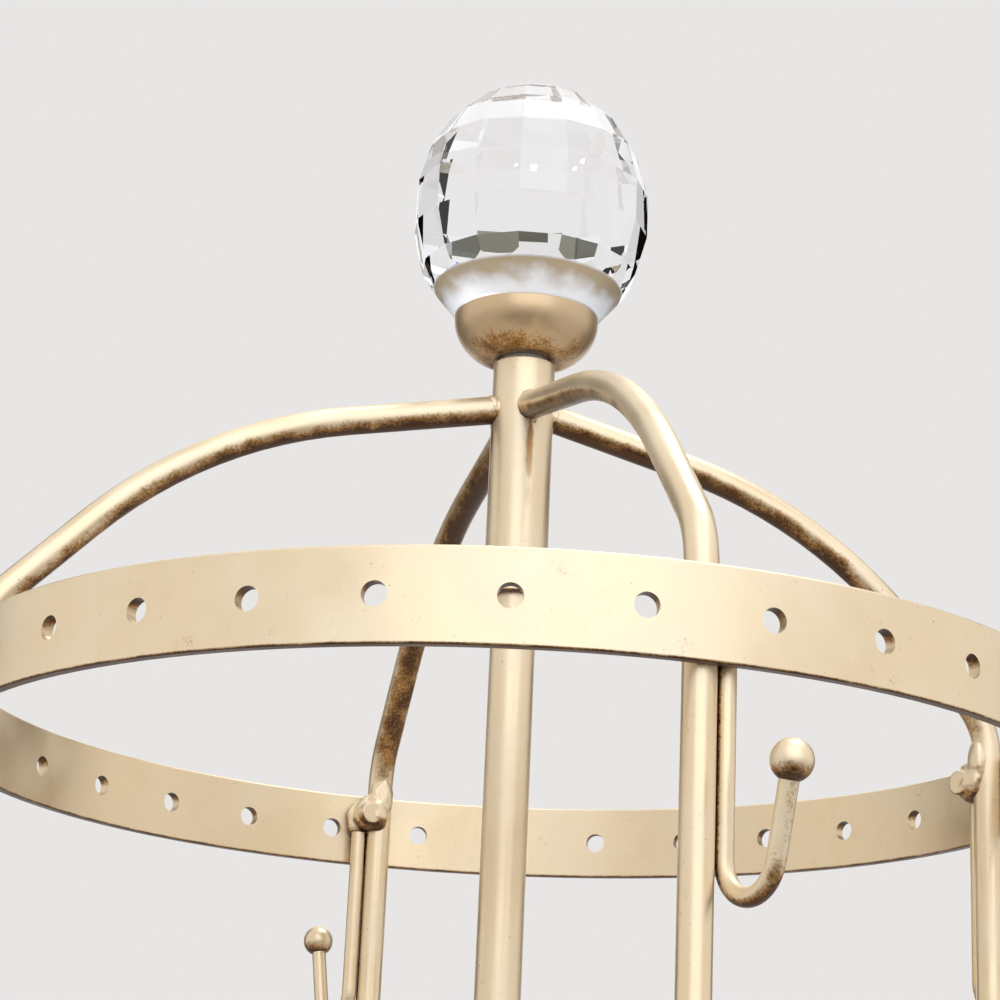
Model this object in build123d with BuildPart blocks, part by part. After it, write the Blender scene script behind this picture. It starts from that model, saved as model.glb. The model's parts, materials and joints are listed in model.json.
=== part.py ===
"""Jewellery stand: a turning wire cage with hooks and a crystal finial, on a case with one drawer.

Millimetres, +Z up. The origin is on the surface that the feet stand on, under the centre post.
The drawer opens towards -Y, and the cage turns about the post.
"""

from build123d import *
from math import cos, radians, sin, sqrt
import os

os.makedirs("parts", exist_ok=True)

# ---- Clearances -------------------------------------------------------------------------------
running_gap = 0.08       # radial gap between the turning cage and the post
weld_gap = 0.1           # gap that a weld bead closes
slip_gap = 0.1           # radial gap where a loose piece goes over a post or a screw
glue_gap = 0.1           # glue line under the drawer's lining
thread_end_gap = 0.8     # empty depth beyond a screw's end
slide_gap = 0.25         # gap under the drawer and beside it
reveal = 0.8             # even gap round the drawer front

# ---- Shares -------------------------------------------------------------------------------------
rim_round_share = 0.25   # rounding of a tube's rim, as a share of its wall
blank_share = 1.2        # size of a crystal's blank, as a share of the cut stone

# ---- Perforated bands of the cage ---------------------------------------------------------------
band_radius = 95.0       # outside of the rolled strip
band_thickness = 2.0
band_width = 14.0
band_edge_round = 0.4
band_hole_diameter = 3.7
band_hole_count = 32
top_band_height = 315.0  # mid-plane above the floor
lower_band_height = 112.0

# ---- Bent rods of the cage: arm, knee and upright in one piece ----------------------------------
rod_diameter = 5.0
rod_sides = {"front": -90.0, "right": 0.0, "back": 90.0, "left": 180.0}
arm_rise = 60.2          # where the arm leaves the sleeve, above the top band's mid-plane
shoulder_radius = 56.5   # corner of the shoulder before it is rounded, from the post's axis
shoulder_rise = 48.6
shoulder_bend = 84.0
knee_rise = 13.0         # corner of the knee before it is rounded
knee_bend = 14.0

# ---- Sleeve that carries the arms, and the post that it turns on --------------------------------
sleeve_diameter = 11.0
sleeve_top_rise = 69.2
sleeve_length = 43.2
post_diameter = 7.8
plug_length = 10.0
finial_screw_reach = 7.0 # length of the finial screw inside the plug
pivot_ball_diameter = 4.0
pivot_ball_stand_out = 1.0

# ---- Hooks ------------------------------------------------------------------------------------
wire_diameter = 2.8
hook_top_drop = 1.0      # end of the shank, below the top band's mid-plane
hook_drop = 38.5         # lowest point of the wire's centre line, below the same plane
hook_turn = 15.0         # degrees from straight outwards, away from the upright
hook_bend = 5.8
hook_lean = 14.0         # degrees by which the tip leans away from the shank
hook_tip_length = 13.0   # straight stretch from the bend to the ball's centre
hook_ball_diameter = 6.0
hook_ball_socket = 2.0   # depth that the wire goes into the ball

# ---- Crystal finial and its cup -----------------------------------------------------------------
cup_rim_radius = 12.9
cup_foot_radius = 6.9
cup_depth = 8.2
cup_wall = 0.9
cup_bulge = 1.3          # how far the cup's side swells out past a straight cone
spacer_thickness = 0.7
spacer_radius = 4.6
crystal_radius = 20.9
crystal_half_height = 25.0
crystal_facets = 16
crystal_rows = (-30.0, -15.0, 0.0, 15.0, 30.0, 45.0, 60.0)
crystal_crown_row = 75.0
crystal_ground_height = 5.0   # plain ground taper between the cup and the lowest facets
crystal_ground_radius = 17.0  # of the taper at its top
crystal_spigot_depth = 2.5
crystal_spigot_taper = 1.5   # narrowing of the spigot towards its end
crystal_seat_gap = 0.3
finial_screw_diameter = 4.0
finial_screw_head_radius = 3.6
finial_screw_head_height = 2.4
screw_slot_width = 0.8
screw_slot_depth = 1.2

# ---- Hub, bush and spokes at the lower band -----------------------------------------------------
hub_diameter = 16.0
bush_diameter = 12.0
bush_flange_radius = 7.0
bush_flange_thickness = 1.2
spoke_diameter = 4.0

# ---- Case of the drawer -------------------------------------------------------------------------
case_width = 186.0
case_depth = 175.3       # the drawer knob then reaches as far out as the hooks
case_height = 58.0
sheet = 1.5
stile_width = 8.0
top_rail = 7.0
bottom_rail = 5.0
case_corner_round = 1.2
top_plate_thickness = 3.0
top_plate_overhang = 2.0
top_plate_corner = 5.0
top_plate_edge_round = 1.2

# ---- Foot of the post ---------------------------------------------------------------------------
flange_radius = 18.0
flange_height = 8.0
flange_edge = 1.6
flange_neck_wall = 3.5   # wall round the post at the flange's top
flange_hollow = 0.3      # how far the hollow side is drawn in, from 0, right in, to 1, right out
stem_diameter = 6.0      # threaded stem below the post's shoulder
washer_radius = 8.0
washer_thickness = 1.2
nut_across_flats = 10.0
nut_thickness = 4.0
stem_end = 0.8           # stem that shows below the nut

# ---- Feet ---------------------------------------------------------------------------------------
foot_height = 12.0
foot_radius = 8.0
foot_flat_radius = 4.0
foot_neck_radius = 5.0
foot_collar_height = 1.8
foot_inset = 15.0        # from the case's outside to the foot's axis
foot_screw_diameter = 4.0
foot_screw_reach = 6.3
foot_screw_head_radius = 3.8
foot_screw_head_height = 2.0

# ---- Drawer -------------------------------------------------------------------------------------
front_thickness = 2.0
panel_margin = 10.0      # plain border round the raised panel
panel_relief = 0.8
panel_corner = 2.5
panel_slope = 30.0       # degrees by which the panel's edges lean
tray_sheet = 1.2
tray_side_gap = 1.5      # between the tray and the edges of the case opening
tray_lift = 2.0          # between the tray and the bottom rail
tray_height = 40.0
tray_back_gap = 3.0      # between the tray and the back panel
drawer_travel = 125.0
pad_thickness = 3.0
pad_gap = 0.3
pad_corner = 3.0
pad_edge_round = 1.0
bumper_radius = 4.0
bumper_gap = 0.3
runner_ledge = 6.0
runner_guide_rise = 8.0
stop_width = 30.0
stop_thickness = 2.0
stop_depth = 13.0
stop_flange = 10.0
stop_slack = 0.5

# ---- Drawer knob --------------------------------------------------------------------------------
knob_cup_length = 6.5
knob_collar_radius = 5.0
knob_collar_thickness = 1.0
knob_neck_radius = 3.4
knob_neck_length = 3.2
knob_rim_radius = 5.6
knob_bowl_bulge = 0.5
knob_recess_depth = 1.2
knob_crystal_radius = 7.4
knob_facets = 12
knob_rows = (-45.0, -22.5, 0.0, 22.5, 45.0)
knob_crown_row = 66.0
knob_spigot_depth = 0.9
knob_screw_diameter = 4.0
knob_screw_head_radius = 3.6
knob_screw_head_height = 2.4

# ---- Places worked out from the sizes above -------------------------------------------------------
rod_radius = rod_diameter / 2
wire_radius = wire_diameter / 2
post_radius = post_diameter / 2
sleeve_radius = sleeve_diameter / 2
sleeve_bore = post_radius + running_gap
sleeve_rim_round = (sleeve_radius - sleeve_bore) * rim_round_share
hub_radius = hub_diameter / 2
bush_radius = bush_diameter / 2
hub_rim_round = (hub_radius - bush_radius) * rim_round_share
band_inside = band_radius - band_thickness
upright_radius = band_inside - rod_radius - weld_gap
upright_foot = lower_band_height - band_width / 2

sleeve_top = top_band_height + sleeve_top_rise
sleeve_foot = sleeve_top - sleeve_length
plug_foot = sleeve_top - plug_length
hook_aside = rod_radius + wire_radius + weld_gap
hook_tip_wire = hook_tip_length - hook_ball_diameter / 2 + hook_ball_socket
cup_foot = sleeve_top + spacer_thickness
cup_rim = cup_foot + cup_depth
crystal_seat = cup_rim + crystal_seat_gap
crystal_centre = crystal_seat + crystal_half_height * sqrt(1 - (cup_rim_radius / crystal_radius) ** 2)
spigot_radius = cup_rim_radius - cup_wall - crystal_seat_gap
ground_slope = crystal_ground_height / (crystal_ground_radius - cup_rim_radius)
blank_radius = crystal_radius * blank_share

case_foot = foot_height
case_top = case_foot + case_height
floor_top = case_foot + sheet
post_foot = case_top + top_plate_thickness
post_top = plug_foot - pivot_ball_stand_out
pivot_ball_centre = plug_foot - running_gap - pivot_ball_diameter / 2

case_front = -case_depth / 2
case_back = case_depth / 2
opening_width = case_width - 2 * stile_width
opening_foot = case_foot + bottom_rail
opening_height = case_height - bottom_rail - top_rail
opening_centre = opening_foot + opening_height / 2
tray_width = opening_width - 2 * tray_side_gap
tray_foot = opening_foot + tray_lift
tray_front = case_front + front_thickness
tray_back = case_back - sheet - tray_back_gap
tray_depth = tray_back - tray_front
tray_middle = (tray_front + tray_back) / 2
bumper_spacing = tray_width / 2
stop_back = tray_back - tray_sheet - drawer_travel - stop_slack


def radial_plane(turn, aside=0.0, height=0.0):
    """Upright plane that holds the post's direction: local X points outwards, local Y up."""
    outward = Vector(cos(radians(turn)), sin(radians(turn)), 0)
    sideways = Vector(-sin(radians(turn)), cos(radians(turn)), 0)
    return Plane(origin=sideways * aside + Vector(0, 0, height), x_dir=outward, z_dir=-sideways)


def outward_plane(turn, radius, height):
    """Upright plane square to the outward direction at the given radius, facing outwards."""
    outward = Vector(cos(radians(turn)), sin(radians(turn)), 0)
    sideways = Vector(-sin(radians(turn)), cos(radians(turn)), 0)
    return Plane(origin=outward * radius + Vector(0, 0, height), x_dir=sideways, z_dir=outward)


def facet_planes(base, radius, half_height, count, rows, crown_row=None):
    """Planes that touch an egg shape round the base plane's normal, one for each cut facet.

    The facets of the rows stand in columns, and the crown has half as many.
    """
    cuts = []
    for tilt in rows:
        cuts += [(tilt, 360 * (step + 0.5) / count) for step in range(count)]
    if crown_row is not None:
        cuts += [(crown_row, 360 * (step + 0.5) / (count / 2)) for step in range(count // 2)]
    cuts.append((90.0, 0.0))
    planes = []
    for tilt, turn in cuts:
        normal = Vector(
            cos(radians(tilt)) * cos(radians(turn)),
            cos(radians(tilt)) * sin(radians(turn)),
            sin(radians(tilt)),
        )
        reach = sqrt((radius * cos(radians(tilt))) ** 2 + (half_height * sin(radians(tilt))) ** 2)
        across = Vector(-sin(radians(turn)), cos(radians(turn)), 0)
        local = Plane(origin=normal * reach, x_dir=across, z_dir=normal)
        planes.append(Plane(base * local))
    return planes


# ---- Bands --------------------------------------------------------------------------------------
for band_name, band_height in (("top_band", top_band_height), ("lower_band", lower_band_height)):
    hole_planes = [
        outward_plane(360 * (step + 0.5) / band_hole_count, band_inside - band_thickness, band_height)
        for step in range(band_hole_count)
    ]
    with BuildPart() as band:
        with BuildSketch(Plane.XY.offset(band_height - band_width / 2)):
            Circle(band_radius)
            Circle(band_inside, mode=Mode.SUBTRACT)
        extrude(amount=band_width)
        fillet(band.edges().filter_by(GeomType.CIRCLE), radius=band_edge_round)
        with BuildSketch(*hole_planes):
            Circle(band_hole_diameter / 2)
        extrude(amount=3 * band_thickness, mode=Mode.SUBTRACT)
    band.part.label = band_name
    export_step(band.part, f"parts/{band_name}.step")

# ---- Bent rods ----------------------------------------------------------------------------------
for side, turn in rod_sides.items():
    with BuildPart() as cage_rod:
        with BuildLine(radial_plane(turn, height=top_band_height)) as rod_line:
            FilletPolyline(
                (sleeve_radius - rod_radius / 2, arm_rise),
                (shoulder_radius, shoulder_rise),
                (upright_radius, knee_rise),
                (upright_radius, upright_foot - top_band_height),
                radius=[shoulder_bend, knee_bend],
            )
        with BuildSketch(Plane(origin=rod_line.line @ 0, z_dir=rod_line.line % 0)):
            Circle(rod_radius)
        sweep()
        with Locations((0, 0, sleeve_top - sleeve_length / 2)):
            Cylinder(sleeve_radius, sleeve_length, mode=Mode.SUBTRACT)
    cage_rod.part.label = f"cage_rod_{side}"
    export_step(cage_rod.part, f"parts/cage_rod_{side}.step")

# ---- Hooks and the balls on their tips ----------------------------------------------------------
for side, turn in rod_sides.items():
    beside_upright = radial_plane(turn, hook_aside, top_band_height)
    along_hook = radial_plane(turn + hook_turn)
    hook_plane = Plane(
        origin=beside_upright.origin + beside_upright.x_dir * upright_radius,
        x_dir=along_hook.x_dir,
        z_dir=along_hook.z_dir,
    )
    with BuildPart() as hook:
        with BuildLine(hook_plane) as hook_line:
            shank = Line((0, -hook_top_drop), (0, hook_bend - hook_drop))
            bend = JernArc(shank @ 1, shank % 1, hook_bend, 180 - hook_lean)
            Line(bend @ 1, (bend @ 1) + (bend % 1) * hook_tip_wire)
        with BuildSketch(Plane(origin=hook_line.line @ 0, z_dir=hook_line.line % 0)):
            Circle(wire_radius)
        sweep()
    hook.part.label = f"hook_{side}"
    export_step(hook.part, f"parts/hook_{side}.step")

    tip_plane = Plane(origin=hook_line.line @ 1, z_dir=hook_line.line % 1)
    with BuildPart(tip_plane.offset(hook_ball_diameter / 2 - hook_ball_socket)) as hook_ball:
        Sphere(hook_ball_diameter / 2)
        with BuildSketch(tip_plane):
            Circle(wire_radius)
        extrude(amount=-hook_ball_diameter, mode=Mode.SUBTRACT)
    hook_ball.part.label = f"hook_ball_{side}"
    export_step(hook_ball.part, f"parts/hook_ball_{side}.step")

# ---- Sleeve, its plug and the pivot ---------------------------------------------------------------
with BuildPart() as hub_sleeve:
    with BuildSketch(Plane.XY.offset(sleeve_foot)):
        Circle(sleeve_radius)
        Circle(sleeve_bore, mode=Mode.SUBTRACT)
    extrude(amount=sleeve_length)
    sleeve_rims = hub_sleeve.edges().filter_by(GeomType.CIRCLE)
    fillet(sleeve_rims.filter_by(lambda rim: rim.radius > sleeve_bore), radius=sleeve_rim_round)
hub_sleeve.part.label = "hub_sleeve"
export_step(hub_sleeve.part, "parts/hub_sleeve.step")

with BuildPart() as pivot_plug:
    with BuildSketch(Plane.XY.offset(plug_foot)):
        Circle(sleeve_bore)
    extrude(amount=plug_length)
    with Locations((0, 0, sleeve_top)):
        Hole(finial_screw_diameter / 2, depth=finial_screw_reach + thread_end_gap)
pivot_plug.part.label = "pivot_plug"
export_step(pivot_plug.part, "parts/pivot_plug.step")

with BuildPart(Plane.XY.offset(pivot_ball_centre)) as pivot_ball:
    Sphere(pivot_ball_diameter / 2)
pivot_ball.part.label = "pivot_ball"
export_step(pivot_ball.part, "parts/pivot_ball.step")

# ---- Finial ---------------------------------------------------------------------------------------
with BuildPart() as finial_spacer:
    with BuildSketch(Plane.XY.offset(sleeve_top)):
        Circle(spacer_radius)
        Circle(finial_screw_diameter / 2 + slip_gap, mode=Mode.SUBTRACT)
    extrude(amount=spacer_thickness)
finial_spacer.part.label = "finial_spacer"
export_step(finial_spacer.part, "parts/finial_spacer.step")

with BuildPart() as finial_cup:
    with BuildSketch(Plane.XZ):
        with BuildLine():
            side_middle = (
                (cup_foot_radius + cup_rim_radius) / 2 + cup_bulge,
                (cup_foot + cup_rim) / 2 - cup_bulge,
            )
            Line((0, cup_foot), (cup_foot_radius, cup_foot))
            ThreePointArc((cup_foot_radius, cup_foot), side_middle, (cup_rim_radius, cup_rim))
            Line((cup_rim_radius, cup_rim), (cup_rim_radius - cup_wall, cup_rim))
            ThreePointArc(
                (cup_rim_radius - cup_wall, cup_rim),
                (side_middle[0] - cup_wall, side_middle[1] + cup_wall),
                (cup_foot_radius - cup_wall, cup_foot + cup_wall),
            )
            Line((cup_foot_radius - cup_wall, cup_foot + cup_wall), (0, cup_foot + cup_wall))
            Line((0, cup_foot + cup_wall), (0, cup_foot))
        make_face()
    revolve(axis=Axis.Z)
    with Locations((0, 0, cup_foot + cup_wall)):
        Hole(finial_screw_diameter / 2 + slip_gap)
    fillet(finial_cup.edges().group_by(Axis.Z)[-1], radius=cup_wall * rim_round_share)
finial_cup.part.label = "finial_cup"
export_step(finial_cup.part, "parts/finial_cup.step")

with BuildPart() as finial_screw:
    with BuildSketch(Plane.XY.offset(cup_foot + cup_wall)):
        Circle(finial_screw_head_radius)
    extrude(amount=finial_screw_head_height)
    fillet(finial_screw.edges().group_by(Axis.Z)[-1], radius=finial_screw_head_height / 2)
    with BuildSketch(Plane.XY.offset(cup_foot + cup_wall)):
        Circle(finial_screw_diameter / 2)
    extrude(amount=-(cup_wall + spacer_thickness + finial_screw_reach))
    with BuildSketch(Plane.XY.offset(cup_foot + cup_wall + finial_screw_head_height)):
        Rectangle(2 * finial_screw_head_radius, screw_slot_width)
    extrude(amount=-screw_slot_depth, mode=Mode.SUBTRACT)
finial_screw.part.label = "finial_screw"
export_step(finial_screw.part, "parts/finial_screw.step")

with BuildPart() as crystal_finial:
    with BuildSketch(Plane.XZ):
        with BuildLine():
            Polyline(
                (0, crystal_seat - crystal_spigot_depth),
                (spigot_radius - crystal_spigot_taper, crystal_seat - crystal_spigot_depth),
                (spigot_radius, crystal_seat),
                (cup_rim_radius, crystal_seat),
                (blank_radius, crystal_seat + ground_slope * (blank_radius - cup_rim_radius)),
                (blank_radius, crystal_centre + crystal_half_height * blank_share),
                (0, crystal_centre + crystal_half_height * blank_share),
                close=True,
            )
        make_face()
    revolve(axis=Axis.Z)
    crystal_base = Plane.XY.offset(crystal_centre)
    for facet in facet_planes(
        crystal_base, crystal_radius, crystal_half_height, crystal_facets, crystal_rows, crystal_crown_row
    ):
        split(bisect_by=facet, keep=Keep.BOTTOM)
crystal_finial.part.label = "crystal_finial"
export_step(crystal_finial.part, "parts/crystal_finial.step")

# ---- Hub and spokes at the lower band -------------------------------------------------------------
with BuildPart() as lower_hub:
    with BuildSketch(Plane.XY.offset(upright_foot)):
        Circle(hub_radius)
        Circle(bush_radius, mode=Mode.SUBTRACT)
    extrude(amount=band_width)
    hub_rims = lower_hub.edges().filter_by(GeomType.CIRCLE)
    fillet(hub_rims.filter_by(lambda rim: rim.radius > bush_radius), radius=hub_rim_round)
lower_hub.part.label = "lower_hub"
export_step(lower_hub.part, "parts/lower_hub.step")

with BuildPart() as lower_bush:
    with BuildSketch(Plane.XY.offset(upright_foot)):
        Circle(bush_radius)
    extrude(amount=band_width)
    with BuildSketch(Plane.XY.offset(upright_foot)):
        Circle(bush_flange_radius)
    extrude(amount=-bush_flange_thickness)
    with Locations((0, 0, upright_foot + band_width)):
        Hole(post_radius + running_gap)
lower_bush.part.label = "lower_bush"
export_step(lower_bush.part, "parts/lower_bush.step")

for side, turn in rod_sides.items():
    with BuildPart() as lower_spoke:
        with BuildSketch(outward_plane(turn, bush_radius, lower_band_height)):
            Circle(spoke_diameter / 2)
        extrude(amount=upright_radius - bush_radius)
        with Locations((0, 0, lower_band_height)):
            Cylinder(hub_radius, band_width, mode=Mode.SUBTRACT)
        with BuildSketch(Plane(origin=outward_plane(turn, upright_radius, upright_foot).origin)):
            Circle(rod_radius)
        extrude(amount=band_width, mode=Mode.SUBTRACT)
    lower_spoke.part.label = f"lower_spoke_{side}"
    export_step(lower_spoke.part, f"parts/lower_spoke_{side}.step")

# ---- Post and its foot ------------------------------------------------------------------------------
stem_length = top_plate_thickness + washer_thickness + nut_thickness + stem_end
with BuildPart() as centre_post:
    with BuildSketch(Plane.XY.offset(post_foot)):
        Circle(post_radius)
    extrude(amount=post_top - post_foot)
    with BuildSketch(Plane.XY.offset(post_foot)):
        Circle(stem_diameter / 2)
    extrude(amount=-stem_length)
    with Locations((0, 0, pivot_ball_centre)):
        Sphere(pivot_ball_diameter / 2 + running_gap, mode=Mode.SUBTRACT)
centre_post.part.label = "centre_post"
export_step(centre_post.part, "parts/centre_post.step")

with BuildPart() as post_flange:
    with BuildSketch(Plane.XZ):
        with BuildLine():
            neck_radius = post_radius + flange_neck_wall
            Polyline(
                (post_radius + slip_gap, post_foot + flange_height),
                (post_radius + slip_gap, post_foot),
                (flange_radius, post_foot),
                (flange_radius, post_foot + flange_edge),
            )
            ThreePointArc(
                (flange_radius, post_foot + flange_edge),
                (
                    neck_radius + (flange_radius - neck_radius) * flange_hollow,
                    post_foot + flange_edge + (flange_height - flange_edge) * flange_hollow,
                ),
                (neck_radius, post_foot + flange_height),
            )
            Line(
                (neck_radius, post_foot + flange_height),
                (post_radius + slip_gap, post_foot + flange_height),
            )
        make_face()
    revolve(axis=Axis.Z)
post_flange.part.label = "post_flange"
export_step(post_flange.part, "parts/post_flange.step")

with BuildPart() as post_washer:
    with BuildSketch(Plane.XY.offset(case_top)):
        Circle(washer_radius)
        Circle(stem_diameter / 2 + slip_gap, mode=Mode.SUBTRACT)
    extrude(amount=-washer_thickness)
post_washer.part.label = "post_washer"
export_step(post_washer.part, "parts/post_washer.step")

with BuildPart() as post_nut:
    with BuildSketch(Plane.XY.offset(case_top - washer_thickness)):
        RegularPolygon(nut_across_flats / 2, 6, major_radius=False)
        Circle(stem_diameter / 2, mode=Mode.SUBTRACT)
    extrude(amount=-nut_thickness)
post_nut.part.label = "post_nut"
export_step(post_nut.part, "parts/post_nut.step")

# ---- Case -------------------------------------------------------------------------------------------
with BuildPart() as top_plate:
    with BuildSketch(Plane.XY.offset(case_top)):
        RectangleRounded(
            case_width + 2 * top_plate_overhang, case_depth + 2 * top_plate_overhang, top_plate_corner
        )
        Circle(stem_diameter / 2 + slip_gap, mode=Mode.SUBTRACT)
    extrude(amount=top_plate_thickness)
    plate_rim = top_plate.faces().sort_by(Axis.Z)[-1].outer_wire().edges()
    fillet(plate_rim, radius=top_plate_edge_round)
top_plate.part.label = "top_plate"
export_step(top_plate.part, "parts/top_plate.step")

with BuildPart() as front_frame:
    with BuildSketch(Plane.XZ.offset(-case_front)):
        with Locations((0, case_foot + case_height / 2)):
            Rectangle(case_width, case_height)
        with Locations((0, opening_centre)):
            Rectangle(opening_width, opening_height, mode=Mode.SUBTRACT)
    extrude(amount=-sheet)
    frame_corners = front_frame.faces().sort_by(Axis.Y)[0].outer_wire().edges().filter_by(Axis.Z)
    fillet(frame_corners, radius=case_corner_round)
front_frame.part.label = "front_frame"
export_step(front_frame.part, "parts/front_frame.step")

with BuildPart() as back_panel:
    with BuildSketch(Plane.XZ.offset(-case_back)):
        with Locations((0, case_foot + case_height / 2)):
            Rectangle(case_width, case_height)
    extrude(amount=sheet)
    back_corners = back_panel.faces().sort_by(Axis.Y)[-1].outer_wire().edges().filter_by(Axis.Z)
    fillet(back_corners, radius=case_corner_round)
back_panel.part.label = "back_panel"
export_step(back_panel.part, "parts/back_panel.step")

for side, outward in (("left", -1), ("right", 1)):
    with BuildPart() as side_panel:
        with BuildSketch(Plane.XY.offset(case_foot)):
            with Locations((outward * (case_width - sheet) / 2, 0)):
                Rectangle(sheet, case_depth - 2 * sheet)
        extrude(amount=case_height)
    side_panel.part.label = f"side_panel_{side}"
    export_step(side_panel.part, f"parts/side_panel_{side}.step")

foot_places = {
    f"{end}_{side}": (across * (case_width / 2 - foot_inset), along * (case_depth / 2 - foot_inset))
    for end, along in (("front", -1), ("back", 1))
    for side, across in (("left", -1), ("right", 1))
}
with BuildPart() as floor_plate:
    with BuildSketch(Plane.XY.offset(case_foot)):
        Rectangle(case_width - 2 * sheet, case_depth - 2 * sheet)
        with Locations(*foot_places.values()):
            Circle(foot_screw_diameter / 2 + slip_gap, mode=Mode.SUBTRACT)
    extrude(amount=sheet)
floor_plate.part.label = "floor_plate"
export_step(floor_plate.part, "parts/floor_plate.step")

# ---- Feet and their screws ----------------------------------------------------------------------------
foot_neck_height = foot_height - foot_collar_height
for place, (foot_x, foot_y) in foot_places.items():
    with BuildPart() as foot:
        with BuildSketch(Plane(origin=(foot_x, foot_y, 0), x_dir=(1, 0, 0), z_dir=(0, -1, 0))):
            with BuildLine():
                Polyline(
                    (0, foot_height),
                    (0, 0),
                    (foot_flat_radius, 0),
                )
                ThreePointArc(
                    (foot_flat_radius, 0),
                    (foot_radius, foot_neck_height / 2),
                    (foot_neck_radius, foot_neck_height),
                )
                Polyline(
                    (foot_neck_radius, foot_neck_height),
                    (foot_neck_radius, foot_height),
                    (0, foot_height),
                )
            make_face()
        revolve(axis=Axis((foot_x, foot_y, 0), (0, 0, 1)))
        with Locations((foot_x, foot_y, foot_height)):
            Hole(foot_screw_diameter / 2, depth=foot_screw_reach + thread_end_gap)
    foot.part.label = f"foot_{place}"
    export_step(foot.part, f"parts/foot_{place}.step")

with BuildPart() as foot_screws:
    with BuildSketch(Plane.XY.offset(floor_top)):
        with Locations(*foot_places.values()):
            Circle(foot_screw_head_radius)
    extrude(amount=foot_screw_head_height)
    fillet(foot_screws.edges().group_by(Axis.Z)[-1], radius=foot_screw_head_height / 2)
    with BuildSketch(Plane.XY.offset(floor_top)):
        with Locations(*foot_places.values()):
            Circle(foot_screw_diameter / 2)
    extrude(amount=-(sheet + foot_screw_reach))
foot_screws.part.label = "foot_screws"
export_step(foot_screws.part, "parts/foot_screws.step")

# ---- Runners, bumpers and the stop inside the case ------------------------------------------------------
tray_side = tray_width / 2
guide_face = tray_side + slide_gap
panel_face = case_width / 2 - sheet
ledge_top = tray_foot - slide_gap
runner_front = tray_front + slide_gap
for side, outward in (("left", -1), ("right", 1)):
    with BuildPart() as runner:
        with BuildSketch(Plane.XZ.offset(-runner_front)):
            with BuildLine():
                Polyline(
                    (outward * panel_face, floor_top),
                    (outward * (tray_side - runner_ledge), floor_top),
                    (outward * (tray_side - runner_ledge), ledge_top),
                    (outward * guide_face, ledge_top),
                    (outward * guide_face, ledge_top + runner_guide_rise),
                    (outward * panel_face, ledge_top + runner_guide_rise),
                    close=True,
                )
            make_face()
        extrude(amount=-(case_back - sheet - runner_front))
        for end in ("front", "back"):
            with Locations((*foot_places[f"{end}_{side}"], floor_top)):
                Cylinder(
                    foot_screw_head_radius + slide_gap,
                    2 * (foot_screw_head_height + slide_gap),
                    mode=Mode.SUBTRACT,
                )
    runner.part.label = f"runner_{side}"
    export_step(runner.part, f"parts/runner_{side}.step")

with BuildPart() as drawer_bumpers:
    with BuildSketch(Plane.XZ.offset(-case_back + sheet)):
        with Locations((0, tray_foot + tray_height / 2)):
            with GridLocations(bumper_spacing, 0, 2, 1):
                Circle(bumper_radius)
    extrude(amount=tray_back_gap - bumper_gap)
drawer_bumpers.part.label = "drawer_bumpers"
export_step(drawer_bumpers.part, "parts/drawer_bumpers.step")

with BuildPart() as drawer_stop:
    with BuildSketch(Plane.YZ.offset(-stop_width / 2)):
        with BuildLine():
            Polyline(
                (stop_back, case_top),
                (stop_back - stop_flange, case_top),
                (stop_back - stop_flange, case_top - stop_thickness),
                (stop_back - stop_thickness, case_top - stop_thickness),
                (stop_back - stop_thickness, case_top - stop_depth),
                (stop_back, case_top - stop_depth),
                close=True,
            )
        make_face()
    extrude(amount=stop_width)
drawer_stop.part.label = "drawer_stop"
export_step(drawer_stop.part, "parts/drawer_stop.step")

# ---- Drawer -------------------------------------------------------------------------------------------
front_width = opening_width - 2 * reveal
front_height = opening_height - 2 * reveal
with BuildPart() as drawer_front:
    with BuildSketch(Plane.XZ.offset(-tray_front)):
        with Locations((0, opening_centre)):
            Rectangle(front_width, front_height)
    extrude(amount=front_thickness)
    with BuildSketch(Plane.XZ.offset(-case_front)):
        with Locations((0, opening_centre)):
            RectangleRounded(front_width - 2 * panel_margin, front_height - 2 * panel_margin, panel_corner)
    extrude(amount=panel_relief, taper=panel_slope)
    with BuildSketch(Plane.XZ.offset(-tray_front)):
        with Locations((0, opening_centre)):
            Circle(knob_screw_diameter / 2 + slip_gap)
    extrude(amount=front_thickness + panel_relief, mode=Mode.SUBTRACT)
drawer_front.part.label = "drawer_front"
export_step(drawer_front.part, "parts/drawer_front.step")

with BuildPart() as drawer_tray:
    with BuildSketch(Plane.XY.offset(tray_foot)):
        with Locations((0, tray_middle)):
            Rectangle(tray_width, tray_depth)
    extrude(amount=tray_height)
    with BuildSketch(Plane.XY.offset(tray_foot + tray_sheet)):
        with Locations((0, tray_middle)):
            Rectangle(tray_width - 2 * tray_sheet, tray_depth - 2 * tray_sheet)
    extrude(amount=tray_height, mode=Mode.SUBTRACT)
    with BuildSketch(Plane.XZ.offset(-tray_front)):
        with Locations((0, opening_centre)):
            Circle(knob_screw_diameter / 2 + slip_gap)
    extrude(amount=-tray_sheet, mode=Mode.SUBTRACT)
drawer_tray.part.label = "drawer_tray"
export_step(drawer_tray.part, "parts/drawer_tray.step")

pad_inset = tray_sheet + pad_gap
with BuildPart() as drawer_pad:
    with BuildSketch(Plane.XY.offset(tray_foot + tray_sheet + glue_gap)):
        with Locations((0, tray_middle)):
            RectangleRounded(tray_width - 2 * pad_inset, tray_depth - 2 * pad_inset, pad_corner)
    extrude(amount=pad_thickness)
    fillet(drawer_pad.edges().group_by(Axis.Z)[-1], radius=pad_edge_round)
drawer_pad.part.label = "drawer_pad"
export_step(drawer_pad.part, "parts/drawer_pad.step")

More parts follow.
